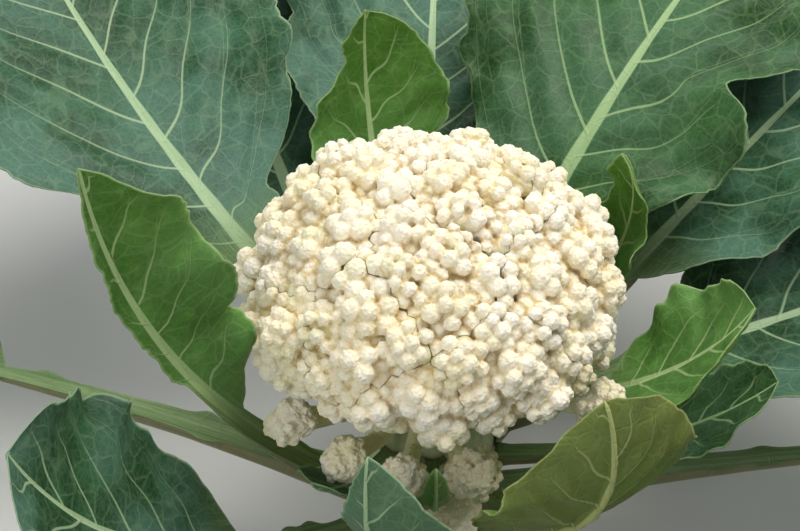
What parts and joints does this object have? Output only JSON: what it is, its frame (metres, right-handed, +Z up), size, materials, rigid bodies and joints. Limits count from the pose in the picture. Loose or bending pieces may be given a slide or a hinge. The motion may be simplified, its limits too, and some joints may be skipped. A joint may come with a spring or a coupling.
{
  "type": "cauliflower",
  "caption": "Whole cauliflower with a domed curd of florets on a thick stem, ringed by its own leaves, standing on the cut foot of the stem.",
  "frame": {"origin": "centre of the flat cut face at the foot of the stem", "axes": "+Z up the stem to the crown of the curd; -Y towards the side where the leaves open and the loose florets show; +X to the right seen from there"},
  "size_m": [0.7063, 0.6294, 0.2891],
  "materials": {
    "curd": "matte, granular, creamy white with ochre in the clefts",
    "stalk": "satin, pale green-white, fibrous",
    "leaf": "satin, blue-green with a waxy bloom and pale veins",
    "young_leaf": "satin, yellow-green with pale veins and edges"
  },
  "bodies": {
    "root": {"stem": "stalk", "floret_01": "curd", "floret_02": "curd", "floret_03": "curd", "floret_04": "curd", "floret_05": "curd", "floret_06": "curd", "floret_07": "curd", "floret_08": "curd", "floret_09": "curd", "floret_10": "curd", "floret_11": "curd", "floret_12": "curd", "floret_13": "curd", "floret_14": "curd", "floret_15": "curd", "floret_16": "curd", "side_floret_far_left": "curd", "side_floret_left": "curd", "side_floret_middle": "curd", "side_floret_right": "curd", "side_floret_far_right": "curd", "side_floret_low": "curd", "back_left_leaf": "leaf", "back_left_lower_leaf": "leaf", "back_leaf": "leaf", "back_right_leaf": "leaf", "right_upper_leaf": "leaf", "right_leaf": "leaf", "right_low_leaf": "leaf", "left_low_leaf": "leaf", "front_left_leaf": "leaf", "front_low_leaf": "leaf", "front_right_low_leaf": "leaf", "left_wrapper_leaf": "young_leaf", "right_cupped_leaf": "young_leaf", "right_dark_leaf": "leaf", "front_right_wrapper_leaf": "young_leaf", "back_inner_leaf": "young_leaf", "right_inner_leaf": "young_leaf", "front_small_leaf": "leaf", "front_curled_leaf": "young_leaf", "front_left_small_leaf": "leaf"}
  },
  "joints": []
}
